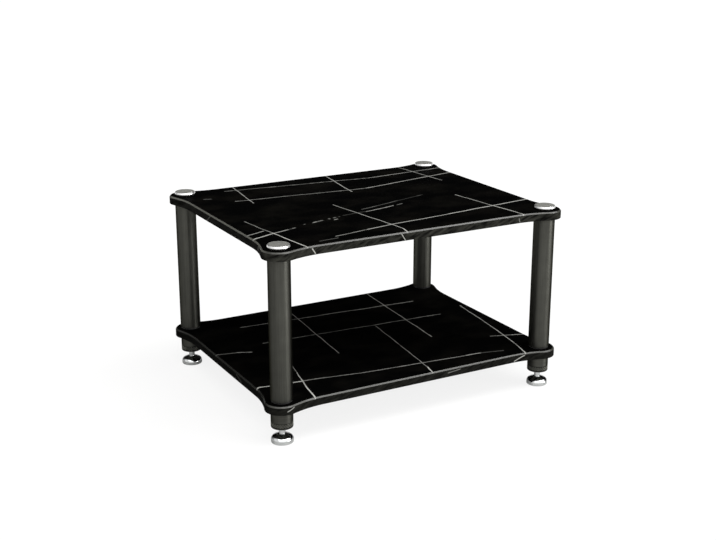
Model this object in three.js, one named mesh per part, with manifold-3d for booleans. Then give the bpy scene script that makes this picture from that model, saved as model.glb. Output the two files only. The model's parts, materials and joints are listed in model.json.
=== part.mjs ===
// A low equipment rack: two waisted boards on four round posts. Studs run through the boards
// and screw caps, posts and collars together, and each collar holds a screwed levelling foot.
// Millimetres, +Z up, +X along the front, +Y to the back. The origin is on the floor, in the middle.

import * as THREE from 'three';
import { mergeVertices } from 'three/addons/utils/BufferGeometryUtils.js';
import Module from 'manifold-3d';

const wasm = await Module();
wasm.setup();

// Fits
const seat = 0.3; // gap between a piece and what it rests on or fits into
const cutOverrun = 1; // how far a cutter runs past the face that it cuts

// Boards
const postSpacingX = 580; // between post axes, along the front
const postSpacingY = 452; // between post axes, from front to back
const boardThickness = 16.5;
const lobeRadius = 32; // round corner about each post
const waistDepth = 14; // how far the sides lie inside the lobes
const filletRadius = 180; // hollow curve that leads from a lobe into a side
const edgeChamfer = 2.5; // round the upper edge
const holeClearance = 0.5; // between a stud and its hole in a board

// Posts
const postRadius = 21; // caps, collars and feet are turned to the same radius
const postWall = 2.5;
const postLength = 269;
const plugLength = 22;

// Studs
const studRadius = 6;
const threadPitch = 1.75;
const studChamfer = 1;
const plugGrip = 17; // length of a stud inside a plug
const collarGrip = 10; // length of the joining stud inside the collar

// Washers and rings
const washerInset = 1; // how far a washer's rim lies inside the post's
const washerBoreClearance = 1;
const topWasherThickness = 0.6; // between a post and the top shelf
const baseRingThickness = 2.5; // between the bottom shelf and a post
const collarWasherThickness = 1; // between a collar and the bottom shelf

// Caps
const capHeight = 7;
const capBevel = 1;
const capSocketDepth = 4.5;

// Collars
const collarHeight = 32.4;
const collarEdge = 2; // round lower edge

// Levelling feet
const padRadius = 17;
const padThickness = 2;
const padProud = 0.8; // how far the pad stands out below its disc
const discHeight = 10.2; // from the underside to the shoulder's top
const discEdge = 1.2; // chamfer round the underside
const shoulderRadius = 4;
const hubRadius = 7.4;
const hubRise = 6; // from the shoulder up to the hub, as a cone
const footStandoff = 14; // length of stud in sight between the hub and the collar
const levelTurns = 3; // each way from the height drawn
const stopGap = 1; // left between the two studs in a collar with its foot screwed right in

// Facets
const outerSteps = 32; // round pieces that show
const innerSteps = 16; // round pieces inside
const lobeSteps = 14;
const filletSteps = 5;
const edgeSteps = 3; // a turned round edge

const finishes = {
  marble: { color: 0x0b0b0b, roughness: 0.4, metalness: 0 },
  anodised: { color: 0x3a3b37, roughness: 0.45, metalness: 0.8 },
  plainAluminium: { color: 0xa8a9a6, roughness: 0.5, metalness: 0.9 },
  brushedCap: { color: 0x9a9a94, roughness: 0.3, metalness: 1 },
  chrome: { color: 0xe2e3e3, roughness: 0.08, metalness: 1 },
  zincSteel: { color: 0xb4b5b4, roughness: 0.4, metalness: 0.9 },
  rubber: { color: 0x121212, roughness: 0.85, metalness: 0 },
};

const corners = [
  { name: 'front_left', x: -postSpacingX / 2, y: -postSpacingY / 2 },
  { name: 'front_right', x: postSpacingX / 2, y: -postSpacingY / 2 },
  { name: 'back_left', x: -postSpacingX / 2, y: postSpacingY / 2 },
  { name: 'back_right', x: postSpacingX / 2, y: postSpacingY / 2 },
];

// Heights, from the floor up
const discBase = padProud;
const discTop = discBase + discHeight;
const collarBase = discTop + hubRise + footStandoff;
const collarTop = collarBase + collarHeight;
const collarWasherBase = collarTop + seat;
const bottomShelfBase = collarWasherBase + collarWasherThickness + seat;
const bottomShelfTop = bottomShelfBase + boardThickness;
const baseRingBase = bottomShelfTop + seat;
const postBase = baseRingBase + baseRingThickness + seat;
const postTop = postBase + postLength;
const topWasherBase = postTop + seat;
const topShelfBase = topWasherBase + topWasherThickness + seat;
const topShelfTop = topShelfBase + boardThickness;
const capBase = topShelfTop + seat;

// Bores, and what fits into the post
const threadBore = studRadius + seat;
const plugRadius = postRadius - postWall - seat;
const padRecess = padThickness - padProud + seat;

// Studs, each from its lower end to its upper end
const capStudEnds = [postTop - plugGrip, capBase + capSocketDepth - seat];
const joiningStudEnds = [collarTop - collarGrip, postBase + plugGrip];
const footTravel = levelTurns * threadPitch;
const footStudEnds = [discBase + padRecess + seat, joiningStudEnds[0] - stopGap - footTravel];

function arcPoints(centreX, centreY, radius, from, to, steps) {
  return Array.from({ length: steps + 1 }, (_, i) => {
    const angle = from + ((to - from) * i) / steps;
    return new THREE.Vector2(centreX + radius * Math.cos(angle), centreY + radius * Math.sin(angle));
  });
}

// A solid of revolution about Z. The profile runs outward along its base, up, and back in.
function turned(profile, steps) {
  const points = profile.map((p) => (p.isVector2 ? p : new THREE.Vector2(...p)));
  return new THREE.LatheGeometry(points, steps).rotateX(Math.PI / 2);
}

function ring(inner, outer, height, steps) {
  return turned([[inner, 0], [outer, 0], [outer, height], [inner, height], [inner, 0]], steps);
}

function toSolid(geometry) {
  const bare = geometry.clone();
  bare.deleteAttribute('normal');
  bare.deleteAttribute('uv');
  const merged = mergeVertices(bare);
  return new wasm.Manifold(new wasm.Mesh({
    numProp: 3,
    vertProperties: merged.getAttribute('position').array,
    triVerts: Uint32Array.from(merged.index.array),
  }));
}

function toGeometry(solid) {
  const mesh = solid.getMesh();
  const geometry = new THREE.BufferGeometry();
  geometry.setAttribute('position', new THREE.BufferAttribute(mesh.vertProperties, 3));
  geometry.setIndex(new THREE.BufferAttribute(mesh.triVerts, 1));
  geometry.computeVertexNormals();
  return geometry;
}

// The board's outline, counterclockwise, drawn in by inset all round. Each corner is a lobe about
// the post with a hollow curve on either side, and all its arcs keep their centres.
function boardOutline(inset) {
  const lobe = lobeRadius - inset;
  const fillet = filletRadius + inset;
  const centreDistance = lobeRadius + filletRadius;
  const out = centreDistance - waistDepth;
  const along = Math.sqrt(centreDistance ** 2 - out ** 2);
  const turn = Math.atan2(along, out);
  const x = postSpacingX / 2;
  const y = postSpacingY / 2;
  const quarter = [
    ...arcPoints(x + out, y - along, fillet, Math.PI, Math.PI - turn, filletSteps),
    ...arcPoints(x, y, lobe, -turn, Math.PI / 2 + turn, lobeSteps).slice(1, -1),
    ...arcPoints(x - along, y + out, fillet, turn - Math.PI / 2, -Math.PI / 2, filletSteps),
  ];
  const mirrored = (signX, signY) => quarter.map((p) => new THREE.Vector2(signX * p.x, signY * p.y));
  return [...quarter, ...mirrored(-1, 1).reverse(), ...mirrored(-1, -1), ...mirrored(1, -1).reverse()];
}

// A board with a chamfered upper edge and a plain hole for the stud at each corner
function board() {
  const full = boardOutline(0);
  const drawnIn = boardOutline(edgeChamfer);
  const layers = [[full, 0], [full, boardThickness - edgeChamfer], [drawnIn, boardThickness]];
  const positions = layers.flatMap(([outline, height]) => outline.flatMap((p) => [p.x, p.y, height]));
  const count = full.length;
  const indices = [];
  for (const layer of [0, count]) {
    for (let i = 0; i < count; i += 1) {
      const next = (i + 1) % count;
      indices.push(layer + i, layer + next, layer + count + next);
      indices.push(layer + i, layer + count + next, layer + count + i);
    }
  }
  for (const [a, b, c] of THREE.ShapeUtils.triangulateShape(full, [])) {
    indices.push(a, c, b);
  }
  const upper = 2 * count;
  for (const [a, b, c] of THREE.ShapeUtils.triangulateShape(drawnIn, [])) {
    indices.push(upper + a, upper + b, upper + c);
  }
  const blank = new THREE.BufferGeometry();
  blank.setAttribute('position', new THREE.Float32BufferAttribute(positions, 3));
  blank.setIndex(indices);

  const holeRadius = studRadius + holeClearance;
  const cutterHeight = boardThickness + 2 * cutOverrun;
  let solid = toSolid(blank);
  for (const { x, y } of corners) {
    const cutter = new THREE.CylinderGeometry(holeRadius, holeRadius, cutterHeight, innerSteps);
    cutter.rotateX(Math.PI / 2).translate(x, y, boardThickness / 2);
    solid = solid.subtract(toSolid(cutter));
  }
  return toGeometry(solid);
}

function post() {
  return ring(postRadius - postWall, postRadius, postLength, outerSteps);
}

// A threaded plug, pressed into the end of a post
function plug() {
  return ring(threadBore, plugRadius, plugLength, innerSteps);
}

function stud([from, to]) {
  const length = to - from;
  return turned([
    [0, 0],
    [studRadius - studChamfer, 0],
    [studRadius, studChamfer],
    [studRadius, length - studChamfer],
    [studRadius - studChamfer, length],
    [0, length],
  ], innerSteps);
}

function washer(thickness) {
  return ring(studRadius + washerBoreClearance, postRadius - washerInset, thickness, innerSteps);
}

// A turned cap with a bevelled rim and a socket for its stud
function cap() {
  return turned([
    [threadBore, 0],
    [postRadius, 0],
    [postRadius, capHeight - capBevel],
    [postRadius - capBevel, capHeight],
    [0, capHeight],
    [0, capSocketDepth],
    [threadBore, capSocketDepth],
    [threadBore, 0],
  ], outerSteps);
}

// A collar with one thread right through it and a round lower edge
function collar() {
  return turned([
    [threadBore, 0],
    ...arcPoints(postRadius - collarEdge, collarEdge, collarEdge, -Math.PI / 2, 0, edgeSteps),
    [postRadius, collarHeight],
    [threadBore, collarHeight],
    [threadBore, 0],
  ], outerSteps);
}

// A foot disc: a recess for its pad, a straight rim, a round shoulder and a cone up to the hub
function footDisc() {
  const shoulderX = postRadius - shoulderRadius;
  const shoulderZ = discHeight - shoulderRadius;
  const recessRadius = padRadius + seat;
  return turned([
    [threadBore, padRecess],
    [recessRadius, padRecess],
    [recessRadius, 0],
    [postRadius - discEdge, 0],
    [postRadius, discEdge],
    ...arcPoints(shoulderX, shoulderZ, shoulderRadius, 0, Math.PI / 2, edgeSteps),
    [hubRadius, discHeight + hubRise],
    [threadBore, discHeight + hubRise],
    [threadBore, padRecess],
  ], outerSteps);
}

function footPad() {
  return turned([[0, 0], [padRadius, 0], [padRadius, padThickness], [0, padThickness]], innerSteps);
}

function place(parent, name, geometry, finish, height) {
  const mesh = new THREE.Mesh(geometry, new THREE.MeshStandardMaterial(finishes[finish]));
  mesh.name = name;
  mesh.position.z = height;
  parent.add(mesh);
}

// All that stands on one corner's axis, from the floor up
function column({ name, x, y }) {
  const group = new THREE.Group();
  group.position.set(x, y, 0);
  place(group, `foot_pad_${name}`, footPad(), 'rubber', 0);
  place(group, `foot_disc_${name}`, footDisc(), 'chrome', discBase);
  place(group, `foot_stud_${name}`, stud(footStudEnds), 'chrome', footStudEnds[0]);
  place(group, `collar_${name}`, collar(), 'anodised', collarBase);
  place(group, `collar_washer_${name}`, washer(collarWasherThickness), 'rubber', collarWasherBase);
  place(group, `joining_stud_${name}`, stud(joiningStudEnds), 'zincSteel', joiningStudEnds[0]);
  place(group, `base_ring_${name}`, washer(baseRingThickness), 'rubber', baseRingBase);
  place(group, `post_${name}`, post(), 'anodised', postBase);
  place(group, `lower_plug_${name}`, plug(), 'plainAluminium', postBase);
  place(group, `upper_plug_${name}`, plug(), 'plainAluminium', postTop - plugLength);
  place(group, `top_washer_${name}`, washer(topWasherThickness), 'rubber', topWasherBase);
  place(group, `cap_stud_${name}`, stud(capStudEnds), 'zincSteel', capStudEnds[0]);
  place(group, `cap_${name}`, cap(), 'brushedCap', capBase);
  return group;
}

const rack = new THREE.Group();
place(rack, 'bottom_shelf', board(), 'marble', bottomShelfBase);
place(rack, 'top_shelf', board(), 'marble', topShelfBase);
rack.add(...corners.map(column));

export default rack;
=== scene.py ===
"""A low equipment rack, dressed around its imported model.

Two waisted boards in satin black marble stand on four satin posts, with turned caps on top,
knurled collars below and chromed screw feet. Lengths are in metres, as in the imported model.
"""

import json
import math
from collections import namedtuple
from functools import partial

import bmesh
import bpy
from bpy.props import FloatProperty, FloatVectorProperty, IntProperty, PointerProperty
from mathutils import Matrix, Vector


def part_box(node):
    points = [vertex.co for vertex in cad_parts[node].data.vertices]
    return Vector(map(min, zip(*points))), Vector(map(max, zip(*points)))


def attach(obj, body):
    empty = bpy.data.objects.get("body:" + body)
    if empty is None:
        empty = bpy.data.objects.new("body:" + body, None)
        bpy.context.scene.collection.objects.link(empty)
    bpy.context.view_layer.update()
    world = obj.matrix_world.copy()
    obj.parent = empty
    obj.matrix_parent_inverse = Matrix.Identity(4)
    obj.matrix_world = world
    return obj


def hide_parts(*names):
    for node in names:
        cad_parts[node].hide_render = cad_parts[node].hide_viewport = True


bl_info = {
    "name": "Equipment Rack",
    "version": (1, 0, 0),
    "blender": (4, 5, 0),
    "location": "View3D > Sidebar > Rack",
    "description": "Builds a low two-board equipment rack with round posts and screw feet",
    "category": "Add Mesh",
}

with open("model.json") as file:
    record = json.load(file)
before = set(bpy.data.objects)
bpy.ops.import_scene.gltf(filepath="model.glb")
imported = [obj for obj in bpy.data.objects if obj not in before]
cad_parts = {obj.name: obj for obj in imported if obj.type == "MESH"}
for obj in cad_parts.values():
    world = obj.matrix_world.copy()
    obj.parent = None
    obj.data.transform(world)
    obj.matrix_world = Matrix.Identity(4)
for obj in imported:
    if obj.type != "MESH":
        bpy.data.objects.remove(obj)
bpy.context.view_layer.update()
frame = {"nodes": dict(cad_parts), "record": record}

MM = 0.001
SEAT = 0.3 * MM  # gap between pieces that fit into each other
CORNERS = ("front_left", "front_right", "back_left", "back_right")

record = frame["record"]
body_of = {n: body for body, nodes in record["behaviour"]["bodies"].items() for n in nodes}

# Where a round piece stands: the middle of its node's box, its lowest and highest point, its radius
Axis = namedtuple("Axis", "centre low high radius")


def axis_of(node):
    low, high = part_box(node)
    return Axis((low + high) / 2, low.z, high.z, (high.x - low.x) / 2)


# Half the distance between post axes, along X and Y. Every post's pattern is centred with it.
POST_X, POST_Y = axis_of("post_back_right").centre.xy
POST_RADIUS = axis_of("post_back_right").radius
STUD_RADIUS = axis_of("joining_stud_back_right").radius
BORE = STUD_RADIUS + SEAT

# A vein runs from start to end on a board's faces, in millimetres from the board's middle. Its
# width is in millimetres. Its strength, and how far it breaks up into dashes, go from 0 to 1.
Vein = namedtuple("Vein", "start end width strength breaks", defaults=(0,))

UPPER_VEINS = (
    Vein((-270, -33), (-257, -132), 2.4, 0.38, 0.1),
    Vein((-257, -132), (-240, -264), 2.6, 0.80),
    Vein((-314, -158), (-259, -135), 3.8, 0.70),
    Vein((-259, -135), (-222, -124), 3.4, 0.52, 0.2),
    Vein((-222, -124), (-204, -118), 3.4, 0.36, 0.8),
    Vein((-181, -108), (-84, -81), 6.0, 0.26, 1.0),
    Vein((-157, -102), (-151, -100), 4.2, 0.46),
    Vein((-113, -102), (-106, -100), 4.2, 0.46),
    Vein((-84, -82), (-30, -76), 3.0, 0.12, 0.5),
    Vein((-30, -78), (40, -61), 3.4, 0.55, 0.2),
    Vein((50, -60), (64, -56), 4.0, 0.22),
    Vein((-314, -129), (-266, -111), 3.4, 0.50, 0.1),
    Vein((-30, -58), (67, -31), 3.0, 0.22, 0.3),
    Vein((67, -31), (140, -10), 3.0, 0.14, 0.6),
    Vein((-62, 3), (-50, -83), 2.8, 0.42, 0.1),
    Vein((-50, -83), (-35, -183), 2.5, 0.60),
    Vein((-35, -183), (-31, -220), 2.3, 0.55),
    Vein((-31, -220), (-39, -264), 2.5, 0.75),
    Vein((-206, -222), (-168, -219), 2.8, 0.22, 0.3),
    Vein((-166, -207), (-94, -194), 3.2, 0.48, 0.3),
    Vein((-94, -194), (-35, -183), 3.4, 0.66),
    Vein((-35, -183), (101, -170), 3.4, 0.64),
    Vein((101, -170), (318, -144), 3.8, 0.72),
    Vein((199, -44), (214, -156), 2.5, 0.62),
    Vein((214, -156), (230, -264), 2.6, 0.80),
    Vein((-272, 169), (-258, 164), 3.0, 0.25),
    Vein((-176, 256), (-196, 92), 2.5, 0.55, 0.2),
    Vein((46, 258), (24, 84), 2.5, 0.60, 0.1),
    Vein((228, 256), (246, 82), 2.5, 0.55, 0.2),
    Vein((-222, 122), (66, 96), 3.4, 0.50, 0.4),
    Vein((66, 96), (318, 142), 3.6, 0.60, 0.1),
    Vein((-206, 214), (118, 178), 3.2, 0.45, 0.5),
    Vein((118, 178), (318, 192), 3.4, 0.55, 0.1),
)

LOWER_VEINS = (
    Vein((-316, -161), (-301, -150), 4.4, 0.85),
    Vein((-301, -150), (-281, -153), 4.4, 0.90),
    Vein((-281, -153), (-214, -161), 4.0, 0.75),
    Vein((-214, -161), (-187, -163), 3.2, 0.42),
    Vein((-187, -163), (-103, -179), 3.2, 0.42, 0.1),
    Vein((-103, -179), (131, -199), 3.2, 0.46, 0.2),
    Vein((131, -199), (164, -201), 3.6, 0.62, 0.1),
    Vein((164, -201), (212, -212), 3.0, 0.24, 0.4),
    Vein((-309, 45), (-265, 36), 3.6, 0.30),
    Vein((-265, 36), (-238, 24), 3.6, 0.55),
    Vein((-174, 60), (-206, -118), 2.5, 0.50, 0.3),
    Vein((-206, -118), (-220, -186), 2.6, 0.75),
    Vein((-220, -186), (-234, -264), 3.0, 0.92),
    Vein((58, 40), (31, -215), 2.3, 0.50, 0.3),
    Vein((31, -215), (20, -262), 2.6, 0.80),
    Vein((292, 64), (275, -78), 2.5, 0.50, 0.1),
    Vein((275, -78), (265, -140), 2.5, 0.66),
    Vein((265, -140), (255, -199), 2.5, 0.70),
    Vein((255, -199), (240, -264), 2.7, 0.88),
    Vein((238, -131), (280, -146), 3.0, 0.42),
    Vein((280, -146), (320, -159), 3.4, 0.58),
    Vein((-196, 60), (222, 38), 3.2, 0.45, 0.4),
    Vein((-200, 170), (214, 142), 3.4, 0.55, 0.2),
    Vein((-60, 258), (-86, -64), 2.5, 0.55, 0.2),
    Vein((150, 258), (128, -74), 2.5, 0.55, 0.2),
)

# A streak crosses the edge of a board. Its ends are a place along the side and a height over the
# board's lower face, in millimetres.
Streak = namedtuple("Streak", "side start end width strength")

UPPER_STREAKS = (
    Streak("front", (-233.2, 12), (-227.4, 2.4), 2.2, 0.60),
    Streak("front", (-50, 16), (-41, 1), 1.6, 0.60),
    Streak("front", (215.5, 9), (217.5, 2), 1.8, 0.30),
    Streak("left", (-190, 14), (-186, 5), 1.8, 0.30),
    Streak("left", (44, 15), (62, 2), 1.6, 0.12),
    Streak("right", (-52, 16), (-38, 1), 1.8, 0.55),
    Streak("right", (120, 13), (112, 2), 1.8, 0.45),
    Streak("back", (-150, 14), (-172, 3), 1.8, 0.50),
    Streak("back", (64, 16), (60, 1), 2.0, 0.60),
)

LOWER_STREAKS = (
    Streak("front", (-278.7, 12.4), (-292.4, 6.9), 1.8, 0.46),
    Streak("front", (241, 12), (218, 3), 1.9, 0.65),
    Streak("front", (88, 11.5), (60, 8.5), 1.8, 0.22),
    Streak("left", (-60, 12), (-84, 4), 1.6, 0.10),
    Streak("right", (10, 15), (28, 2), 1.8, 0.55),
    Streak("right", (-146, 12), (-138, 3), 1.8, 0.40),
    Streak("back", (-96, 15), (-88, 1), 1.8, 0.55),
    Streak("back", (196, 13), (170, 4), 1.8, 0.50),
)

# Sign of X and of Y on each side of a board
SIDES = {"front": (0, -1), "back": (0, 1), "left": (-1, 0), "right": (1, 0)}

# How a board is patterned: its veins and streaks, how much of the clouds its edge shows, and the
# chamfer's tone along the short sides as a share of its tone along the long ones, which paints
# light on the upper board's short sides and shade on the lower board's
Pattern = namedtuple("Pattern", "veins streaks cloud_share side_share")

BOARDS = {
    "top_shelf": Pattern(UPPER_VEINS, UPPER_STREAKS, cloud_share=1.0, side_share=1.9),
    "bottom_shelf": Pattern(LOWER_VEINS, LOWER_STREAKS, cloud_share=0.38, side_share=0.3),
}

# The order of a board's materials
FACE, EDGE, CHAMFER = range(3)

# A distant lamp: what it is called, the direction that points to it, the brightness of its disc and
# the angle that the disc spans, in degrees
Lamp = namedtuple("Lamp", "name direction brightness angle")

# An arc of four overhead, which the boards' front chamfers mirror, and a low one that the posts mirror
LAMPS = (
    Lamp("overhead right", (0.66, -0.15, 0.73), 4.5, 26),
    Lamp("overhead front right", (0.40, -0.30, 0.865), 6.5, 28),
    Lamp("overhead front", (0.0, -0.30, 0.95), 4.0, 26),
    Lamp("overhead left", (-0.36, -0.05, 0.93), 2.4, 26),
    Lamp("low right", (0.70, -0.705, 0.09), 6.2, 30),
)

# A soft patch of light in the world: the direction of its centre, the cosines of the angles from it
# at which the patch starts and is full, and its brightness there
Fill = namedtuple("Fill", "centre start full brightness")

# A wide one low in front, a weak one low on the left, and one above that, which the feet mirror
FILLS = (
    Fill((-0.020, -0.940, 0.340), 0.20, 0.62, 1.35),
    Fill((-0.954, 0.148, 0.259), 0.40, 0.85, 0.35),
    Fill((-0.780, -0.050, 0.624), 0.62, 0.88, 0.85),
)


def linear(colour):
    """An sRGB hex value, such as #3c3c38, as the linear colour with alpha that a socket takes."""
    parts = [int(colour[i:i + 2], 16) / 255 for i in (1, 3, 5)]
    return (*(p / 12.92 if p <= 0.04045 else ((p + 0.055) / 1.055) ** 2.4 for p in parts), 1.0)


def length_setting(name, description, default):
    return FloatProperty(name=name, description=description, default=default, min=0, unit="LENGTH")


def colour_setting(name, description, default):
    return FloatVectorProperty(
        name=name, description=description, default=linear(default),
        size=4, min=0, max=1, subtype="COLOR",
    )


class RackBoardSettings(bpy.types.PropertyGroup):
    """Shape and finish of the two boards."""

    lobe_radius: length_setting("Lobe radius", "Round corner about each post", 32 * MM)
    waist_depth: length_setting("Waist depth", "How far the sides lie inside the lobes", 14 * MM)
    fillet_radius: length_setting("Fillet radius", "Hollow curve from lobe to side", 180 * MM)
    edge_chamfer: length_setting("Chamfer", "Chamfer round the upper edge", 2.5 * MM)
    edge_softness: length_setting("Edge softness", "Radius of the polished arrises", 0.5 * MM)
    ground_colour: colour_setting("Ground", "Black of the marble", "#030303")
    cloud_colour: colour_setting("Clouds", "Paler clouds in the black", "#0d0c0a")
    chamfer_colour: colour_setting("Chamfer tone", "Grey of the chamfer", "#3c3c38")
    edge_colour: colour_setting("Edge", "Black of the edge band", "#0b0b0a")
    edge_cloud_colour: colour_setting("Edge clouds", "Paler streaks in the edge band", "#2e2e2a")
    vein_colour: colour_setting("Veins", "Colour of the strongest veins", "#b6b6b0")


class RackPostSettings(bpy.types.PropertyGroup):
    """Posts and collars, which are turned from the same bar."""

    edge_round: length_setting("Edge round", "Rounding of the ends of posts", 1.2 * MM)
    collar_round: length_setting("Collar round", "Round lower edge of a collar", 2 * MM)
    knurl_base: length_setting("Knurl base", "Knurled band's height over the collar's foot", 2.4 * MM)
    knurl_rows: IntProperty(name="Knurl rows", description="Rows of points in the band", default=3)
    knurl_count: IntProperty(name="Knurl points", description="Points in one row", default=26)
    knurl_depth: length_setting("Knurl depth", "Depth of the knurled band", 1 * MM)
    knurl_flat: FloatProperty(
        name="Knurl flats", description="Flat top of a point, as a share of its base", default=0.5,
    )
    colour: colour_setting("Anodising", "Charcoal of posts and collars", "#50504b")


class RackCapSettings(bpy.types.PropertyGroup):
    """The turned caps."""

    rim_round: length_setting("Rim round", "Rounding of the bright rim", 1 * MM)
    wall_lean: length_setting("Wall lean", "How far the wall leans in at the top", 1.2 * MM)
    under_bevel: length_setting("Underside bevel", "Bevel round the lower edge", 3.3 * MM)
    face_radius: length_setting("Face radius", "Radius of the brushed face", 18.9 * MM)
    colour: colour_setting("Metal", "Bare aluminium", "#cacac4")


class RackFootSettings(bpy.types.PropertyGroup):
    """The levelling feet and their studs."""

    thread_pitch: length_setting("Pitch", "Rise of the thread in one turn", 1.75 * MM)
    thread_depth: length_setting("Thread depth", "Depth of the thread", 0.9 * MM)
    shoulder_radius: length_setting("Shoulder", "Round shoulder of the disc", 7 * MM)
    hub_radius: length_setting("Hub radius", "Hub about the stud", 7.4 * MM)
    hub_rise: length_setting("Hub rise", "Height of the hub over the shoulder", 6 * MM)
    colour: colour_setting("Chrome", "Polished chrome plate", "#e4e6e6")


class RackStageSettings(bpy.types.PropertyGroup):
    """Camera, floor and lamps."""

    camera_place: FloatVectorProperty(
        name="Camera", description="Place of the camera", default=(-1.149, -2.074, 0.9606),
        subtype="TRANSLATION", unit="LENGTH",
    )
    azimuth: FloatProperty(
        name="Azimuth", description="Heading of the view, from the front",
        default=math.radians(-28.85), subtype="ANGLE",
    )
    elevation: FloatProperty(
        name="Elevation", description="Downward tilt of the view",
        default=math.radians(17.21), subtype="ANGLE",
    )
    focal_length: FloatProperty(
        name="Focal length", description="Lens, in millimetres on a 36 mm sensor", default=60.7,
    )
    floor_colour: colour_setting("Floor", "Pale studio floor", "#f4f4f2")


# Kinds of node that come up often. RANGE takes a value, the ends that it comes from and the ends
# that it goes to, which are 0 and 1 when left out.
PLACE = "ShaderNodeTexCoord"
MAPPING = "ShaderNodeMapping"
MATH = "ShaderNodeMath"
VECTOR = "ShaderNodeVectorMath"
RANGE = "ShaderNodeMapRange"
MIX = "ShaderNodeMix"
NOISE = "ShaderNodeTexNoise"
BUMP = "ShaderNodeBump"
SPLIT = "ShaderNodeSeparateXYZ"
JOIN = "ShaderNodeCombineXYZ"


def connect(node, *values, **named):
    """Gives a node its settings and inputs. Values fill its inputs in order. A name in small letters
    is a setting, such as operation, and a capitalised one is an input, with an underscore for each
    space. A socket is linked, and so is another node, from its first output."""
    for name, value in named.items():
        if name[0].islower():
            setattr(node, name, value)
    inputs = list(zip((socket for socket in node.inputs if socket.enabled), values))
    for name, value in named.items():
        if name[0].isupper():
            inputs.append((node.inputs[name.replace("_", " ")], value))
    for socket, value in inputs:
        if isinstance(value, bpy.types.Node):
            value = next(output for output in value.outputs if output.enabled)
        if isinstance(value, bpy.types.NodeSocket):
            node.id_data.links.new(value, socket)
        else:
            socket.default_value = value
    return node


def add_node(tree, kind, *values, **named):
    """Adds a node of a kind, with settings and inputs given as connect takes them."""
    return connect(tree.nodes.new(kind), *values, **named)


def new_group(kind, name, inputs, output):
    """A node group with inputs of named kinds and one output, with the function that adds nodes to
    it and the sockets that its inputs give."""
    group = bpy.data.node_groups.new(name, kind)
    for socket, socket_kind in inputs.items():
        group.interface.new_socket(socket, in_out="INPUT", socket_type="NodeSocket" + socket_kind)
    socket, socket_kind = output
    group.interface.new_socket(socket, in_out="OUTPUT", socket_type="NodeSocket" + socket_kind)
    add = partial(add_node, group)
    return group, add, add("NodeGroupInput").outputs


def new_material(name, finish, *details):
    """A material whose Principled shader takes the inputs that a finish gives. The finish is a
    function that builds them with add, the function that adds nodes to the material."""
    material = bpy.data.materials.new(name)
    material.use_nodes = True
    shader = material.node_tree.nodes["Principled BSDF"]
    connect(shader, **finish(partial(add_node, material.node_tree), *details))
    return material


def toned(colour, share):
    """A linear colour, darker or brighter by a share."""
    return (*(part * share for part in colour[:3]), 1.0)


def place_about_axis(add):
    """Each point's place from the nearest post's axis, the same for all four posts because they
    stand at mirrored places."""
    folded = add(VECTOR, add(PLACE).outputs["Object"], operation="ABSOLUTE")
    return add(VECTOR, folded, (POST_X, POST_Y, 0), operation="SUBTRACT")


def distance_from_axis(add, place):
    """How far a point lies from the nearest post's axis, from its place about that axis."""
    flat = add(VECTOR, place, (1, 1, 0), operation="MULTIPLY")
    return add(VECTOR, flat, operation="LENGTH")


def grain(add, place, size, detail=2.0):
    """Noise from 0 to 1, whose grains have the given size in metres: one for all axes, or one for
    each."""
    sizes = size if isinstance(size, tuple) else (size, size, size)
    stretched = add(MAPPING, place, Scale=tuple(1 / s for s in sizes))
    return add(NOISE, stretched, Scale=1.0, Detail=detail)


def vein_group():
    """Node group: how strongly a point lies on one vein, from 0 to 1. The vein lies along X in its
    own frame, and shows as deep as Half Depth on both sides of its middle."""
    group, add, given = new_group("ShaderNodeTree", "marble vein", {
        "Place": "Vector", "Middle": "Vector", "Turn": "Vector", "Half Length": "Float",
        "Half Width": "Float", "Half Depth": "Float", "Strength": "Float",
    }, ("Vein", "Float"))
    local = add(MAPPING, given["Place"], given["Middle"], given["Turn"], vector_type="TEXTURE")
    sizes = add(VECTOR, local, operation="ABSOLUTE")
    along, across, into = add(SPLIT, sizes).outputs
    full_share, gone_share = 0.55, 1.25
    full = add(MATH, given["Half Width"], full_share, operation="MULTIPLY")
    gone = add(MATH, given["Half Width"], gone_share, operation="MULTIPLY")
    line = add(RANGE, across, full, gone, 1.0, 0.0, interpolation_type="SMOOTHSTEP")
    fading = 2 * MM
    past_end = add(MATH, given["Half Length"], fading, operation="ADD")
    ends = add(RANGE, along, given["Half Length"], past_end, 1.0, 0.0)
    within = add(MATH, into, given["Half Depth"], operation="LESS_THAN")
    vein = line
    for part in (ends, within, given["Strength"]):
        vein = add(MATH, vein, part, operation="MULTIPLY")
    add("NodeGroupOutput", vein)
    return group


def wandering_place(add, place):
    """A place that wanders by about 2 mm over 60 mm and is ragged by 0.4 mm over 6 mm, so that a
    straight line drawn on it looks grown."""
    still = place
    for grain_size, reach in ((60 * MM, 5 * MM), (6 * MM, 0.9 * MM)):
        noise = add(NOISE, still, Scale=1 / grain_size, Detail=1.0).outputs["Color"]
        centred = add(VECTOR, noise, (0.5, 0.5, 0.5), operation="SUBTRACT")
        place = add(VECTOR, centred, (reach, reach, 0.0), place, operation="MULTIPLY_ADD")
    return place


def strongest(add, values):
    """The largest of several values."""
    total = values[0]
    for value in values[1:]:
        total = add(MATH, total, value, operation="MAXIMUM")
    return total


def run_of(line):
    """The middle, half length and heading of a vein or streak."""
    start, end = Vector(line.start), Vector(line.end)
    run = end - start
    return (start + end) / 2 * MM, run.length / 2 * MM, math.atan2(run.y, run.x)


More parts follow.
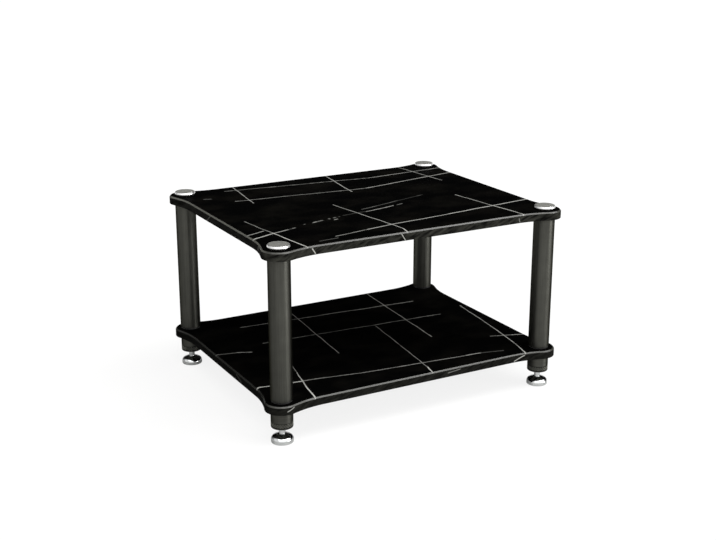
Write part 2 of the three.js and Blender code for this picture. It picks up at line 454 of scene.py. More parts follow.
def face_veins(add, veins, group):
    """How strongly a point of a board's face lies on a vein."""
    place = add(PLACE).outputs["Object"]
    wandering = wandering_place(add, place)
    # Dashes: a vein that breaks shows only where this noise is high
    dashes = grain(add, place, 13 * MM, detail=1.0)
    swell = add(RANGE, grain(add, place, 24 * MM), 0.3, 0.7, 0.7, 1.15)
    found = []
    for vein in veins:
        middle, half_length, heading = run_of(vein)
        weakest = vein.strength * (1 - vein.breaks)
        found.append(add(
            "ShaderNodeGroup", node_tree=group, Place=wandering, Middle=(*middle, 0.0),
            Turn=(0.0, 0.0, heading), Half_Length=half_length, Half_Depth=1.0,
            Half_Width=add(MATH, swell, vein.width / 2 * MM, operation="MULTIPLY"),
            Strength=add(RANGE, dashes, 0.5, 0.62, weakest, vein.strength),
        ))
    return strongest(add, found)


def edge_streaks(add, streaks, bottom, group):
    """How strongly a point of a board's edge lies on a streak. Turned upright, a streak's own X and
    Y lie in the side that it is on."""
    place = wandering_place(add, add(PLACE).outputs["Object"])
    found = []
    for streak in streaks:
        middle, half_length, heading = run_of(streak)
        across_x, across_y = SIDES[streak.side]
        centre = (
            across_x * POST_X if across_x else middle.x,
            across_y * POST_Y if across_y else middle.x,
            bottom + middle.y,
        )
        facing = math.pi / 2 if across_x else 0.0
        found.append(add(
            "ShaderNodeGroup", node_tree=group, Place=place, Middle=centre,
            Turn=(math.pi / 2, -heading, facing), Half_Length=half_length,
            Half_Width=streak.width / 2 * MM, Half_Depth=2 * POST_RADIUS, Strength=streak.strength,
        ))
    return strongest(add, found)


def on_long_side(add, place):
    """1 along a board's front and back sides, and 0 along its short ones."""
    from_middle = add(MATH, add(SPLIT, place).outputs["Y"], operation="ABSOLUTE")
    return add(RANGE, from_middle, POST_Y, POST_Y + 12 * MM)


def satin_black_marble(add, pattern, settings, group):
    """Marble-pattern film under satin lacquer on fibreboard: a deep black that mirrors nothing, with
    faint brown clouds, and thin grey-white veins that wander, thin out and break up into dashes."""
    place = add(PLACE).outputs["Object"]
    clouds = grain(add, place, (70 * MM, 45 * MM, 45 * MM), detail=5.0)
    clouds = add(RANGE, clouds, 0.45, 0.8)
    ground = add(MIX, clouds, settings.ground_colour, settings.cloud_colour, data_type="RGBA")
    veins = face_veins(add, pattern.veins, group)
    smears = grain(add, place, 90 * MM, detail=3.0)
    relief = grain(add, place, 7 * MM)
    return dict(
        Specular_IOR_Level=0.001,
        Base_Color=add(MIX, veins, ground, settings.vein_colour, data_type="RGBA"),
        Roughness=add(RANGE, smears, 0.3, 0.7, 0.38, 0.46),
        Normal=add(BUMP, Height=relief, Distance=0.004 * MM),
    )


def polished_chamfer(add, pattern, settings, group):
    """Chamfer cut through the film to its grey ground and polished: a thin line that shines where it
    mirrors a lamp and stays a soft grey elsewhere. The veins cross it faintly. Along the short sides
    the ground is paler on the upper board and darker on the lower one, as painted light and shade."""
    place = add(PLACE).outputs["Object"]
    clouds = add(RANGE, grain(add, place, 14 * MM, detail=4.0), 0.3, 0.7)
    grey = settings.chamfer_colour
    ground = add(MIX, clouds, toned(grey, 0.7), grey, data_type="RGBA")
    # Painted light and shade: the chamfer's grey along the short sides is lightened or darkened by how
    # light falls on each board
    side = toned(grey, pattern.side_share)
    ground = add(MIX, on_long_side(add, place), side, ground, data_type="RGBA")
    veins = add(MATH, face_veins(add, pattern.veins, group), 0.35, operation="MULTIPLY")
    return dict(
        Specular_IOR_Level=0.23,
        Base_Color=add(MIX, veins, ground, settings.vein_colour, data_type="RGBA"),
        Roughness=add(RANGE, clouds, 0.0, 1.0, 0.16, 0.24),
    )


def satin_edge_band(add, pattern, settings, group, bottom):
    """Edge band in the same pattern without the clear lacquer: a satin black with paler slanting
    clouds and a short streak here and there. Along the short sides painted shade makes it darker,
    with fewer clouds."""
    place = add(PLACE).outputs["Object"]
    slanted = add(MAPPING, place, Rotation=(0.0, math.radians(25), 0.0))
    clouds = grain(add, slanted, (24 * MM, 24 * MM, 5 * MM), detail=5.0)
    long_side = on_long_side(add, place)
    # Painted shade: the short sides get fewer clouds and a darker black
    shaded_side_clouds = 0.25 * pattern.cloud_share
    share = add(RANGE, long_side, 0.0, 1.0, shaded_side_clouds, pattern.cloud_share)
    paler = add(MATH, add(RANGE, clouds, 0.35, 0.7), share, operation="MULTIPLY")
    black = settings.edge_colour
    ground = add(MIX, long_side, toned(black, 0.6), black, data_type="RGBA")
    ground = add(MIX, paler, ground, settings.edge_cloud_colour, data_type="RGBA")
    streaks = edge_streaks(add, pattern.streaks, bottom, group)
    relief = grain(add, place, 1.5 * MM)
    return dict(
        Specular_IOR_Level=0.003,
        Base_Color=add(MIX, streaks, ground, settings.vein_colour, data_type="RGBA"),
        Roughness=add(RANGE, clouds, 0.3, 0.7, 0.5, 0.6),
        Normal=add(BUMP, Height=relief, Distance=0.02 * MM),
    )


def satin_anodised_aluminium(add, settings, band=None):
    """Charcoal anodised aluminium, ground round: a soft metal sheen that spreads up and down, with
    faint drawn lines along a post. A collar has turning rings, and between the two heights of its
    knurled band the grooves are darkened as painted shade, round points that hands have rubbed paler.
    The real lines are finer than 0.5 mm and are drawn coarser, to show."""
    place = place_about_axis(add)
    line, long = 1.3 * MM, 90 * MM
    lines = grain(add, place, (long, long, line) if band else (line, line, long), detail=3.0)
    stain = grain(add, place, 22 * MM, detail=4.0)
    tone = add(MATH, add(RANGE, lines, 0.3, 0.7), 0.7, operation="MULTIPLY")
    stained = add(RANGE, stain, 0.3, 0.7, 0.0, 0.3)
    tone = add(MATH, tone, stained, operation="ADD")
    charcoal = settings.colour
    metal = add(MIX, tone, toned(charcoal, 0.66), charcoal, data_type="RGBA")
    if band:
        height = add(SPLIT, place).outputs["Z"]
        over = add(MATH, height, band[0], operation="GREATER_THAN")
        under = add(MATH, height, band[1], operation="LESS_THAN")
        knurled = add(MATH, over, under, operation="MULTIPLY")
        root = POST_RADIUS - settings.knurl_depth
        foot, crest = (root + share * settings.knurl_depth for share in (0.3, 0.9))
        tip = add(RANGE, distance_from_axis(add, place), foot, crest)
        # Painted shade: the grooves between the points are coloured near black where shade falls, and
        # the rubbed tips are paler wear
        grooves, rubbed = linear("#0a0a09"), toned(charcoal, 2.4)
        points = add(MIX, tip, grooves, rubbed, data_type="RGBA")
        metal = add(MIX, knurled, metal, points, data_type="RGBA")
    return dict(
        Base_Color=metal, Metallic=1.0, Anisotropic=0.8,
        Roughness=add(RANGE, lines, 0.2, 0.8, 0.36, 0.44),
        Tangent=add(JOIN, Z=1.0),
        # The dyed oxide skin takes light away at a glance, so the sides of a post end dark
        Specular_Tint=linear("#959593"),
        Normal=add(BUMP, Height=lines, Distance=0.02 * MM),
    )


def brushed_cap_aluminium(add, settings):
    """Bare aluminium: a face brushed in circles, dull and grey, inside a bright turned rim. The
    real circles are finer and are drawn 0.7 mm apart, to show."""
    radius = distance_from_axis(add, place_about_axis(add))
    rings = add(NOISE, noise_dimensions="1D", W=radius, Scale=1 / (0.7 * MM), Detail=3.0)
    metal, edge = settings.colour, settings.face_radius
    rim = add(RANGE, radius, edge - 0.3 * MM, edge)
    ring_tone = add(RANGE, rings, 0.3, 0.7)
    face = add(MIX, ring_tone, toned(metal, 0.66), metal, data_type="RGBA")
    face_roughness = add(RANGE, rings, 0.2, 0.8, 0.5, 0.62)
    return dict(
        Metallic=1.0,
        Base_Color=add(MIX, rim, face, linear("#f7f7f6"), data_type="RGBA"),
        Roughness=add(RANGE, rim, 0.0, 1.0, face_roughness, 0.36),
        Normal=add(BUMP, Height=rings, Distance=0.006 * MM),
    )


def polished_chrome(add, colour):
    """Chrome plate on turned steel: a near mirror, with faint smears where it has been handled."""
    place = add(PLACE).outputs["Object"]
    smears = grain(add, place, (9 * MM, 9 * MM, 5 * MM), detail=4.0)
    tone = add(RANGE, smears, 0.35, 0.7)
    return dict(
        Metallic=1.0,
        Base_Color=add(MIX, tone, colour, toned(colour, 0.86), data_type="RGBA"),
        Roughness=add(RANGE, smears, 0.3, 0.75, 0.03, 0.1),
    )


def zinc_plated_steel(add):
    """Bright zinc on rolled thread: a slightly blue grey, spangled and a little dull."""
    spangle = grain(add, add(PLACE).outputs["Object"], 3 * MM, detail=4.0)
    dull, bright = linear("#9fa3a8"), linear("#c9cccd")
    return dict(
        Metallic=1.0,
        Base_Color=add(MIX, spangle, dull, bright, data_type="RGBA"),
        Roughness=add(RANGE, spangle, 0.3, 0.7, 0.24, 0.4),
    )


def turned_aluminium(add):
    """Plain aluminium as it comes off the lathe: pale, with fine rings about the axis."""
    rings = grain(add, place_about_axis(add), (60 * MM, 60 * MM, 0.8 * MM), detail=3.0)
    dull, bright = linear("#9b9b98"), linear("#c8c8c4")
    return dict(
        Metallic=1.0,
        Base_Color=add(MIX, rings, dull, bright, data_type="RGBA"),
        Roughness=add(RANGE, rings, 0.3, 0.7, 0.28, 0.45),
        Normal=add(BUMP, Height=rings, Distance=0.02 * MM),
    )


def moulded_rubber(add):
    """Black moulded rubber: matt, with a fine grain and a slight grey bloom."""
    place = add(PLACE).outputs["Object"]
    bloom = grain(add, place, 8 * MM, detail=4.0)
    black, grey = linear("#0b0b0b"), linear("#1b1b1a")
    return dict(
        Base_Color=add(MIX, bloom, black, grey, data_type="RGBA"),
        Roughness=add(RANGE, bloom, 0.3, 0.7, 0.62, 0.78),
        Normal=add(BUMP, Height=grain(add, place, 0.6 * MM), Distance=0.05 * MM),
    )


def rounded(corners, closed, steps=5):
    """A profile from corners (across, height, radius), each rounded by an arc of its radius."""
    points = []
    count = len(corners)
    for i, (x, z, radius) in enumerate(corners):
        corner = Vector((x, z))
        if radius <= 0 or (not closed and i in (0, count - 1)):
            points.append(corner)
            continue
        before = (Vector(corners[i - 1][:2]) - corner).normalized()
        after = (Vector(corners[(i + 1) % count][:2]) - corner).normalized()
        half = before.angle(after) / 2
        reach = radius / math.tan(half)
        centre = corner + (before + after).normalized() * radius / math.sin(half)
        first = corner + before * reach - centre
        sweep = first.angle_signed(corner + after * reach - centre)
        for n in range(steps + 1):
            cos, sin = math.cos(sweep * n / steps), math.sin(sweep * n / steps)
            # angle_signed counts clockwise turns as positive
            spoke = Vector((first.x * cos + first.y * sin, first.y * cos - first.x * sin))
            points.append(centre + spoke)
    return points


def ring_profile(inner, axis, soft):
    """The closed profile of a plain ring with softened edges."""
    outer, low, high = axis.radius, axis.low, axis.high
    return rounded((
        (inner, low, soft), (outer, low, soft), (outer, high, soft), (inner, high, soft),
    ), closed=True, steps=4)


def finished_object(name, builder, *finishes, sharp_angle=math.radians(38)):
    """Turns a bmesh into an object at the origin, with outward faces and smooth round surfaces."""
    bmesh.ops.recalc_face_normals(builder, faces=builder.faces)
    mesh = bpy.data.meshes.new(name)
    builder.to_mesh(mesh)
    builder.free()
    mesh.shade_smooth()
    mesh.set_sharp_from_angle(angle=sharp_angle)
    for finish in finishes:
        mesh.materials.append(finish)
    piece = bpy.data.objects.new(name, mesh)
    bpy.context.scene.collection.objects.link(piece)
    return piece


def keep_result(piece, modifier):
    """Makes what a modifier gives the piece's plain mesh, and removes the modifier."""
    bpy.context.view_layer.update()
    depsgraph = bpy.context.evaluated_depsgraph_get()
    result = bpy.data.meshes.new_from_object(piece.evaluated_get(depsgraph), depsgraph=depsgraph)
    piece.modifiers.remove(modifier)
    piece.data, old = result, piece.data
    bpy.data.meshes.remove(old)


def stand_for(piece, node):
    """Puts a finished piece in a node's place and on its body, and hides the node."""
    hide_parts(node)
    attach(piece, body_of[node])


def bridge(builder, lower, upper):
    """Joins two rings of vertices with faces. A ring of one vertex is a pole."""
    count = max(len(lower), len(upper))
    for i in range(count):
        pairs = ((lower, i), (lower, i + 1), (upper, i + 1), (upper, i))
        corners = [ring[step % len(ring)] for ring, step in pairs]
        builder.faces.new(list(dict.fromkeys(corners)))


def turned_piece(node, profile, material, steps=96):
    """A solid of revolution about a node's axis. A profile that starts on the axis ends there too,
    and any other closes on itself and makes a ring."""
    centre = axis_of(node).centre
    circle = [math.tau * i / steps for i in range(steps)]
    builder = bmesh.new()
    rings = []
    for across, height in profile:
        turns = circle if across > 0 else [0.0]
        rings.append([
            builder.verts.new((
                centre.x + across * math.cos(turn), centre.y + across * math.sin(turn), height,
            ))
            for turn in turns
        ])
    for lower, upper in zip(rings, rings[1:]):
        bridge(builder, lower, upper)
    if len(rings[0]) > 1:
        bridge(builder, rings[-1], rings[0])
    return finished_object(node + "_visual", builder, material)


def apply_nodes(piece, tree, values):
    """Runs a geometry tree on a piece, with its named inputs, and keeps the result as plain mesh."""
    modifier = piece.modifiers.new(tree.name, "NODES")
    modifier.node_group = tree
    for item in tree.interface.items_tree:
        if item.in_out == "INPUT" and item.name in values:
            modifier[item.identifier] = values[item.name]
    keep_result(piece, modifier)


def close_tree(add, geometry, material):
    """Ends a geometry tree with plain geometry in one material."""
    real = add("GeometryNodeRealizeInstances", geometry)
    painted = add("GeometryNodeSetMaterial", real, Material=material)
    add("NodeGroupOutput", painted)


def knurl_tree():
    """Rows of small four-sided points with flat tops round an axis, each row set half a step from
    the last."""
    tree, add, given = new_group("GeometryNodeTree", "diamond knurl", {
        "Geometry": "Geometry", "Count": "Int", "Rows": "Int", "Radius": "Float", "Depth": "Float",
        "Row Pitch": "Float", "Flat": "Float", "Centre": "Vector", "Material": "Material",
    }, ("Geometry", "Geometry"))
    count, radius, pitch = given["Count"], given["Radius"], given["Row Pitch"]
    index = add("GeometryNodeInputIndex")
    row = add(MATH, index, count, operation="DIVIDE")
    row = add(MATH, row, operation="FLOOR")
    stagger = add(MATH, row, 2.0, operation="MODULO")
    stagger = add(MATH, stagger, 0.5, operation="MULTIPLY")
    column = add(MATH, index, count, operation="MODULO")
    column = add(MATH, column, stagger, operation="ADD")
    turn = add(MATH, column, math.tau, operation="MULTIPLY")
    turn = add(MATH, turn, count, operation="DIVIDE")
    across = add(MATH, turn, operation="COSINE")
    across = add(MATH, across, radius, operation="MULTIPLY")
    inward = add(MATH, turn, operation="SINE")
    inward = add(MATH, inward, radius, operation="MULTIPLY")
    height = add(MATH, row, pitch, operation="MULTIPLY")
    place = add(JOIN, across, inward, height)
    place = add(VECTOR, place, given["Centre"], operation="ADD")
    total = add(MATH, count, given["Rows"], operation="MULTIPLY")
    points = add("GeometryNodePoints", Count=total, Position=place)
    # Half the width of a point's foot, where the points of a row touch
    girth = add(MATH, radius, math.tau, operation="MULTIPLY")
    half = add(MATH, count, 2.0, operation="MULTIPLY")
    half = add(MATH, girth, half, operation="DIVIDE")
    tooth = add(
        "GeometryNodeMeshCone", fill_type="NGON", Vertices=4, Depth=given["Depth"],
        Radius_Top=add(MATH, half, given["Flat"], operation="MULTIPLY"), Radius_Bottom=half,
    )
    stretch = add(MATH, pitch, half, operation="DIVIDE")
    teeth = add(
        "GeometryNodeInstanceOnPoints", Points=points, Instance=tooth,
        Rotation=add(JOIN, 0.0, math.pi / 2, turn),
        Scale=add(JOIN, stretch, 1.0, 1.0),
    )
    joined = add("GeometryNodeJoinGeometry", given["Geometry"])
    # The one input of a join takes any number of links
    connect(joined, teeth)
    close_tree(add, joined, given["Material"])
    return tree


def thread_tree():
    """Presses a V thread into a smooth stud between two heights."""
    tree, add, given = new_group("GeometryNodeTree", "V thread", {
        "Geometry": "Geometry", "Pitch": "Float", "Depth": "Float", "Low": "Float",
        "High": "Float", "Centre": "Vector", "Material": "Material",
    }, ("Geometry", "Geometry"))
    pitch = given["Pitch"]
    position = add("GeometryNodeInputPosition")
    local = add(VECTOR, position, given["Centre"], operation="SUBTRACT")
    x, y, z = add(SPLIT, local).outputs
    turn = add(MATH, y, x, operation="ARCTAN2")
    turn = add(MATH, turn, math.tau, operation="DIVIDE")
    rise = add(MATH, z, pitch, operation="DIVIDE")
    phase = add(MATH, rise, turn, operation="SUBTRACT")
    phase = add(MATH, phase, operation="FRACT")
    from_crest = add(MATH, phase, 0.5, operation="SUBTRACT")
    from_crest = add(MATH, from_crest, operation="ABSOLUTE")
    cut = add(RANGE, from_crest, 0.06, 0.44, 1.0, 0.0)
    # The thread runs out over the last part of a turn at both ends
    run_out = 0.8
    for upper, lower in ((z, given["Low"]), (given["High"], z)):
        inside = add(MATH, upper, lower, operation="SUBTRACT")
        inside = add(MATH, inside, pitch, operation="DIVIDE")
        inside = add(RANGE, inside, 0.0, run_out)
        cut = add(MATH, cut, inside, operation="MULTIPLY")
    depth = add(MATH, cut, given["Depth"], operation="MULTIPLY")
    outward = add(VECTOR, local, (1, 1, 0), operation="MULTIPLY")
    outward = add(VECTOR, outward, operation="NORMALIZE")
    inward = add(
        VECTOR, outward, operation="SCALE",
        Scale=add(MATH, depth, -1.0, operation="MULTIPLY"),
    )
    moved = add("GeometryNodeSetPosition", given["Geometry"], Offset=inward)
    close_tree(add, moved, given["Material"])
    return tree


def threaded_stud(node, material, tree, feet, thread_low):
    """A stud with chamfered ends and a V thread from thread_low up."""
    axis = axis_of(node)
    # The chamfer is a little deeper than the thread, so that the thread fades out on it
    chamfer = feet.thread_depth * 1.1
    low, high = axis.low + chamfer, axis.high - chamfer
    rings_in_pitch = 7
    rings = math.ceil((high - low) / (feet.thread_pitch / rings_in_pitch))
    tip = axis.radius - chamfer
    profile = [(0, axis.low), (tip, axis.low)]
    profile += [(axis.radius, low + (high - low) * i / rings) for i in range(rings + 1)]
    profile += [(tip, axis.high), (0, axis.high)]
    piece = turned_piece(node, profile, material, steps=40)
    apply_nodes(piece, tree, {
        "Pitch": feet.thread_pitch, "Depth": feet.thread_depth, "Low": thread_low,
        "High": axis.high, "Centre": Vector((*axis.centre.xy, 0)), "Material": material,
    })
    piece.data.shade_smooth()
    stand_for(piece, node)


def board_outline(inset, settings, lobe_steps=56, fillet_steps=20):
    """The board's outline, drawn in by inset all round: a lobe about each post, and a hollow curve
    from each lobe into the straight sides. All arcs keep their centres."""
    lobe = settings.lobe_radius - inset
    fillet = settings.fillet_radius + inset
    between = settings.lobe_radius + settings.fillet_radius
    out = between - settings.waist_depth
    along = math.sqrt(between ** 2 - out ** 2)
    turn = math.atan2(along, out)

    def arc(x, y, radius, start, end, steps):
        angles = [start + (end - start) * i / steps for i in range(steps + 1)]
        return [Vector((x + radius * math.cos(a), y + radius * math.sin(a))) for a in angles]

    side = arc(POST_X + out, POST_Y - along, fillet, math.pi, math.pi - turn, fillet_steps)
    corner = arc(POST_X, POST_Y, lobe, -turn, math.pi / 2 + turn, lobe_steps)[1:-1]
    back = arc(POST_X - along, POST_Y + out, fillet, turn - math.pi / 2, -math.pi / 2, fillet_steps)
    quarter = side + corner + back
    left = [Vector((-p.x, p.y)) for p in reversed(quarter)]
    opposite = [Vector((-p.x, -p.y)) for p in quarter]
    right = [Vector((p.x, -p.y)) for p in reversed(quarter)]
    return quarter + left + opposite + right


def board(node, finishes, settings):
    """One board: polished arrises, a chamfered upper edge and a hole for each stud."""
    low, high = (corner.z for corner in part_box(node))
    middle = (low + high) / 2
    chamfer, soft = settings.edge_chamfer, settings.edge_softness
    edge = rounded((
        (chamfer, low, 0),
        (0, low, soft),
        (0, high - chamfer, soft),
        (chamfer, high, soft),
        (chamfer + 2 * soft, high, 0),
    ), closed=False, steps=4)
    builder = bmesh.new()
    rings = [
        [builder.verts.new((*place, height)) for place in board_outline(inset, settings)]
        for inset, height in edge
    ]
    for lower, upper in zip(rings, rings[1:]):
        bridge(builder, lower, upper)
    builder.faces.new(rings[0])
    builder.faces.new(rings[-1])
    builder.normal_update()
    # The upright part of a face's normal: 1 on the flat faces and 0 on the edge
    flat, sloping = math.cos(math.radians(10)), math.sin(math.radians(30))
    for face in builder.faces:
        upright = abs(face.normal.z)
        if upright < flat:
            on_chamfer = upright > sloping and face.calc_center_median().z > middle
            face.material_index = CHAMFER if on_chamfer else EDGE
    sharp_angle = math.radians(60)
    piece = finished_object(node + "_visual", builder, *finishes, sharp_angle=sharp_angle)

    drill_builder = bmesh.new()
    drill_radius, drill_length = STUD_RADIUS + soft, 3 * (high - low)
    for x in (-POST_X, POST_X):
        for y in (-POST_Y, POST_Y):
            bmesh.ops.create_cone(
                drill_builder, cap_ends=True, segments=48, depth=drill_length,
                radius1=drill_radius, radius2=drill_radius,
                matrix=Matrix.Translation((x, y, middle)),
            )
    drill = finished_object(node + "_drill", drill_builder, finishes[FACE])
    cut = piece.modifiers.new("stud holes", "BOOLEAN")
    cut.operation = "DIFFERENCE"
    cut.solver = "EXACT"
    cut.object = drill
    keep_result(piece, cut)
    bpy.data.objects.remove(drill)
    piece.data.set_sharp_from_angle(angle=sharp_angle)
    stand_for(piece, node)


class RACK_OT_boards(bpy.types.Operator):
    """Build both boards in satin black marble"""

    bl_idname = "rack.boards"
    bl_label = "Boards"

    def execute(self, context):
        settings = context.scene.rack_boards
        group = vein_group()
        for node, pattern in BOARDS.items():
            label = node.replace("_", " ")
            look = (pattern, settings, group)
            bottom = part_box(node)[0].z
            board(node, (
                new_material("black marble lacquer, " + label, satin_black_marble, *look),
                new_material("black marble edge band, " + label, satin_edge_band, *look, bottom),
                new_material("polished chamfer, " + label, polished_chamfer, *look),
            ), settings)
        return {"FINISHED"}


class RACK_OT_posts(bpy.types.Operator):
    """Build the four posts in satin anodised aluminium"""

    bl_idname = "rack.posts"
    bl_label = "Posts"

    def execute(self, context):
        settings = context.scene.rack_posts
        material = new_material("satin anodised tube", satin_anodised_aluminium, settings)
        for corner in CORNERS:
            node = "post_" + corner
            inner = axis_of("upper_plug_" + corner).radius + SEAT
            profile = ring_profile(inner, axis_of(node), settings.edge_round)
            stand_for(turned_piece(node, profile, material), node)
        return {"FINISHED"}


class RACK_OT_collars(bpy.types.Operator):
    """Build the four collars with their knurled bands"""

    bl_idname = "rack.collars"
    bl_label = "Collars"

    def execute(self, context):
        settings = context.scene.rack_posts
        root = POST_RADIUS - settings.knurl_depth
        pitch = math.pi * root / settings.knurl_count
        band_low = axis_of("collar_front_left").low + settings.knurl_base
        band_high = band_low + (settings.knurl_rows + 1) * pitch
        band = (band_low, band_high)
        material = new_material("satin anodised collar", satin_anodised_aluminium, settings, band)
        tree = knurl_tree()
        # The lower edge is a steep chamfer, as wide as the inset, and well rounded at its foot
        inset, mouth_soft, shoulder_soft, top_soft = 0.6 * MM, 0.4 * MM, 0.3 * MM, 0.6 * MM
        sunk = 0.15 * MM  # depth of the points' feet in the ground between them
        for corner in CORNERS:
            node = "collar_" + corner
            centre, low, high, radius = axis_of(node)
            profile = rounded((
                (BORE, low, mouth_soft),
                (radius - inset, low, settings.collar_round - inset),
                (radius, low + settings.collar_round, shoulder_soft),
                (radius, band_low, 0),
                (root, band_low, 0),
                (root, band_high, 0),
                (radius, band_high, 0),
                (radius, high, top_soft),
                (BORE, high, mouth_soft),
            ), closed=True, steps=4)
            piece = turned_piece(node, profile, material)
            apply_nodes(piece, tree, {
                "Count": settings.knurl_count, "Rows": settings.knurl_rows, "Radius": root - sunk,
                "Depth": settings.knurl_depth + sunk, "Row Pitch": pitch, "Material": material,
                "Flat": settings.knurl_flat,
                "Centre": Vector((centre.x, centre.y, band_low + pitch)),
            })
            stand_for(piece, node)
        return {"FINISHED"}


class RACK_OT_caps(bpy.types.Operator):
    """Build the four turned caps"""

    bl_idname = "rack.caps"
    bl_label = "Caps"

    def execute(self, context):
        settings = context.scene.rack_caps
        material = new_material("brushed and polished aluminium", brushed_cap_aluminium, settings)
        edge_soft, wall_soft = 0.3 * MM, 0.5 * MM
        for corner in CORNERS:
            node = "cap_" + corner
            _, low, high, radius = axis_of(node)
            socket = axis_of("cap_stud_" + corner).high + SEAT
            profile = rounded((
                (0, socket, 0),
                (BORE, socket, 0),
                (BORE, low, edge_soft),
                (radius - settings.under_bevel, low, edge_soft),
                (radius, low + settings.under_bevel, wall_soft),
                (radius - settings.wall_lean, high, settings.rim_round),
                (0, high, 0),
            ), closed=False, steps=8)
            stand_for(turned_piece(node, profile, material), node)
        return {"FINISHED"}


class RACK_OT_gaskets(bpy.types.Operator):
    """Build the rubber rings, washers and foot pads. The black rings under the posts and washers over
    the collars are dark pieces that stand as lines of painted shade at those joints
    """

    bl_idname = "rack.gaskets"
    bl_label = "Rings, washers and pads"

    def execute(self, context):
        material = new_material("moulded black rubber", moulded_rubber)
        slack = 1 * MM  # between a stud and the rubber round it
        # Painted shade: base_ring_ and collar_washer_ are black rings put where the joints at a post's
        # foot and a collar's top show a dark line of shade
        softness = {"base_ring_": 0.9 * MM, "top_washer_": 0.2 * MM, "collar_washer_": 0.35 * MM}
        pad_soft = 0.4 * MM
        for corner in CORNERS:
            for kind, soft in softness.items():
                node = kind + corner
                profile = ring_profile(STUD_RADIUS + slack, axis_of(node), soft)
                stand_for(turned_piece(node, profile, material), node)
            node = "foot_pad_" + corner
            _, low, high, radius = axis_of(node)
            profile = rounded((
                (0, low, 0), (radius, low, pad_soft), (radius, high, pad_soft), (0, high, 0),
            ), closed=False, steps=4)
            stand_for(turned_piece(node, profile, material), node)
        return {"FINISHED"}


class RACK_OT_feet(bpy.types.Operator):
    """Build the chromed feet and their studs"""

    bl_idname = "rack.feet"
    bl_label = "Levelling feet"

    def execute(self, context):
        feet = context.scene.rack_feet
        chrome = new_material("polished chrome", polished_chrome, feet.colour)
        tree = thread_tree()
        recess_soft, base_soft, hub_soft = 0.2 * MM, 1.2 * MM, 0.4 * MM
        hub_drop = 0.2 * MM  # from the bore's edge down to the hub's
        smooth_inside = 1 * MM  # how far the smooth neck runs on into the collar
        for corner in CORNERS:
            node = "foot_disc_" + corner
            _, low, high, radius = axis_of(node)
            pad = axis_of("foot_pad_" + corner)
            recess, roof = pad.radius + SEAT, pad.high + SEAT
            profile = rounded((
                (BORE, roof, 0),
                (recess, roof, 0),
                (recess, low, recess_soft),
                (radius, low, base_soft),
                (radius, high - feet.hub_rise, feet.shoulder_radius),
                (feet.hub_radius, high - hub_drop, hub_soft),
                (BORE, high, 0),
            ), closed=True, steps=10)
            stand_for(turned_piece(node, profile, chrome, steps=128), node)
            neck_top = axis_of("collar_" + corner).low + smooth_inside
            threaded_stud("foot_stud_" + corner, chrome, tree, feet, neck_top)
        return {"FINISHED"}


class RACK_OT_fixings(bpy.types.Operator):
    """Thread the hidden studs and finish the plugs inside the posts"""

    bl_idname = "rack.fixings"
    bl_label = "Hidden fixings"

    def execute(self, context):
        feet = context.scene.rack_feet
        zinc = new_material("bright zinc plated steel", zinc_plated_steel)
        plain = new_material("turned aluminium", turned_aluminium)
        tree = thread_tree()
        for corner in CORNERS:
            for kind in ("cap_stud_", "joining_stud_"):
                node = kind + corner
                threaded_stud(node, zinc, tree, feet, axis_of(node).low)
            for kind in ("upper_plug_", "lower_plug_"):
                plug = frame["nodes"][kind + corner]
                plug.data.materials.clear()
                plug.data.materials.append(plain)
        return {"FINISHED"}


class RACK_OT_stage(bpy.types.Operator):
    """Set the camera, the pale floor, the lamps and the world"""

    bl_idname = "rack.stage"
    bl_label = "Stage"

    def execute(self, context):
        settings = context.scene.rack_stage
        set_camera(settings)
        set_floor(settings)
        set_lamps()
        set_world()
        context.scene.view_settings.view_transform = "Standard"
        return {"FINISHED"}


def set_camera(settings):
    """The photograph's view: its place, heading, tilt and focal length."""
    data = bpy.data.cameras.new("view")
    data.sensor_fit = "HORIZONTAL"
    data.sensor_width = 36
    data.lens = settings.focal_length
    data.clip_end = 200
    camera = bpy.data.objects.new("view", data)
    camera.location = settings.camera_place
    camera.rotation_euler = (math.pi / 2 - settings.elevation, 0, settings.azimuth)
    bpy.context.scene.collection.objects.link(camera)
    bpy.context.scene.camera = camera


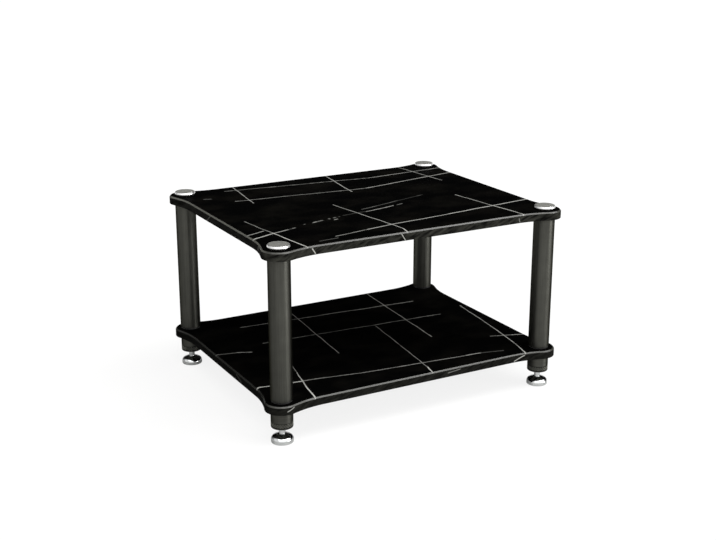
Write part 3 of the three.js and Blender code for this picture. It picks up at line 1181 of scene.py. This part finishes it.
def set_floor(settings):
    """A wide floor of pale, matt background paper. Part of its white is its own, so that the
    background stays even. In metal its own glow is painted shade under and behind the rack and
    painted light in front, and it is pale far off."""
    half = 60
    mesh = bpy.data.meshes.new("floor")
    corners = [(-half, -half, 0), (half, -half, 0), (half, half, 0), (-half, half, 0)]
    mesh.from_pydata(corners, [], [(0, 1, 2, 3)])
    material = bpy.data.materials.new("pale studio floor")
    material.use_nodes = True
    tree = material.node_tree
    add = partial(add_node, tree)
    paper = connect(
        tree.nodes["Principled BSDF"],
        Base_Color=settings.floor_colour, Roughness=0.9, Specular_IOR_Level=0.0,
    )
    rays = add("ShaderNodeLightPath").outputs
    place = add(PLACE).outputs["Object"]
    # How far a point lies in front of the rack, and from its middle, in metres
    forward = add(VECTOR, place, (0.3, -0.95, 0), operation="DOT_PRODUCT")
    away = add(VECTOR, place, operation="LENGTH")
    # Painted light and shade in metal only: the floor's own glow is dim under and behind the rack and
    # bright in front of it
    near = add(RANGE, forward, 0.2, 0.68, 0.15, 0.78, interpolation_type="SMOOTHSTEP")
    far = add(RANGE, away, 1.5, 3.5, 0.0, 0.9)
    white = strongest(add, (near, far, rays["Is Camera Ray"]))
    glow = add("ShaderNodeEmission", linear("#ffffff"), white)
    # The share of the floor's light that is its own: in metal it is less, so metal shows more of the
    # shadow under the rack
    camera_share, metal_share = 0.85, 0.6
    seen = add(MATH, rays["Is Camera Ray"], camera_share, operation="MULTIPLY")
    mirrored = strongest(add, (rays["Is Glossy Ray"], rays["Is Transmission Ray"]))
    mirrored = add(MATH, mirrored, metal_share, operation="MULTIPLY")
    mix = add("ShaderNodeMixShader", strongest(add, (seen, mirrored)), paper, glow)
    connect(tree.nodes["Material Output"], Surface=mix)
    mesh.materials.append(material)
    floor = bpy.data.objects.new("floor", mesh)
    bpy.context.scene.collection.objects.link(floor)


def set_lamps():
    """Soft lamps far away, each a wide disc of an even brightness."""
    for lamp in LAMPS:
        data = bpy.data.lights.new(lamp.name, "SUN")
        data.angle = math.radians(lamp.angle)
        data.energy = lamp.brightness * math.pi * math.sin(data.angle / 2) ** 2
        sun = bpy.data.objects.new(lamp.name, data)
        sun.rotation_euler = Vector(lamp.direction).to_track_quat("Z", "Y").to_euler()
        bpy.context.scene.collection.objects.link(sun)


def set_world():
    """A dark studio with soft fills of light. The backdrop is white to the camera, and metal shows
    it as a pale band along the floor's horizon."""
    world = bpy.data.worlds.new("studio")
    world.use_nodes = True
    tree = world.node_tree
    add = partial(add_node, tree)
    direction = add(PLACE).outputs["Generated"]
    height = add(SPLIT, direction).outputs["Z"]
    rays = add("ShaderNodeLightPath").outputs
    mirrored = strongest(add, (rays["Is Glossy Ray"], rays["Is Transmission Ray"]))
    horizon = add(RANGE, height, 0.01, 0.07, 1.0, 0.008, interpolation_type="SMOOTHSTEP")
    backdrop = add(MATH, mirrored, horizon, operation="MULTIPLY")
    glows = [rays["Is Camera Ray"], backdrop]
    for fill in FILLS:
        towards = add(VECTOR, direction, fill.centre, operation="DOT_PRODUCT")
        glows.append(add(
            RANGE, towards, fill.start, fill.full, 0.0, fill.brightness,
            interpolation_type="SMOOTHSTEP",
        ))
    connect(tree.nodes["Background"], Color=linear("#ffffff"), Strength=strongest(add, glows))
    bpy.context.scene.world = world


class RACK_PT_panel(bpy.types.Panel):
    """Lists the rack's pieces and the stage"""

    bl_label = "Equipment Rack"
    bl_idname = "RACK_PT_panel"
    bl_space_type = "VIEW_3D"
    bl_region_type = "UI"
    bl_category = "Rack"

    def draw(self, context):
        for operator in OPERATORS:
            self.layout.operator(operator.bl_idname)


SETTINGS = {
    "rack_boards": RackBoardSettings,
    "rack_posts": RackPostSettings,
    "rack_caps": RackCapSettings,
    "rack_feet": RackFootSettings,
    "rack_stage": RackStageSettings,
}

OPERATORS = (
    RACK_OT_boards,
    RACK_OT_posts,
    RACK_OT_collars,
    RACK_OT_caps,
    RACK_OT_gaskets,
    RACK_OT_feet,
    RACK_OT_fixings,
    RACK_OT_stage,
)


def register():
    for kind in (*SETTINGS.values(), *OPERATORS, RACK_PT_panel):
        bpy.utils.register_class(kind)
    for name, kind in SETTINGS.items():
        setattr(bpy.types.Scene, name, PointerProperty(type=kind))


def unregister():
    for name in SETTINGS:
        delattr(bpy.types.Scene, name)
    for kind in (RACK_PT_panel, *reversed(OPERATORS), *SETTINGS.values()):
        bpy.utils.unregister_class(kind)


def main():
    register()
    bpy.ops.rack.boards()
    bpy.ops.rack.posts()
    bpy.ops.rack.collars()
    bpy.ops.rack.caps()
    bpy.ops.rack.gaskets()
    bpy.ops.rack.feet()
    bpy.ops.rack.fixings()
    bpy.ops.rack.stage()


if __name__ == "__main__":
    main()
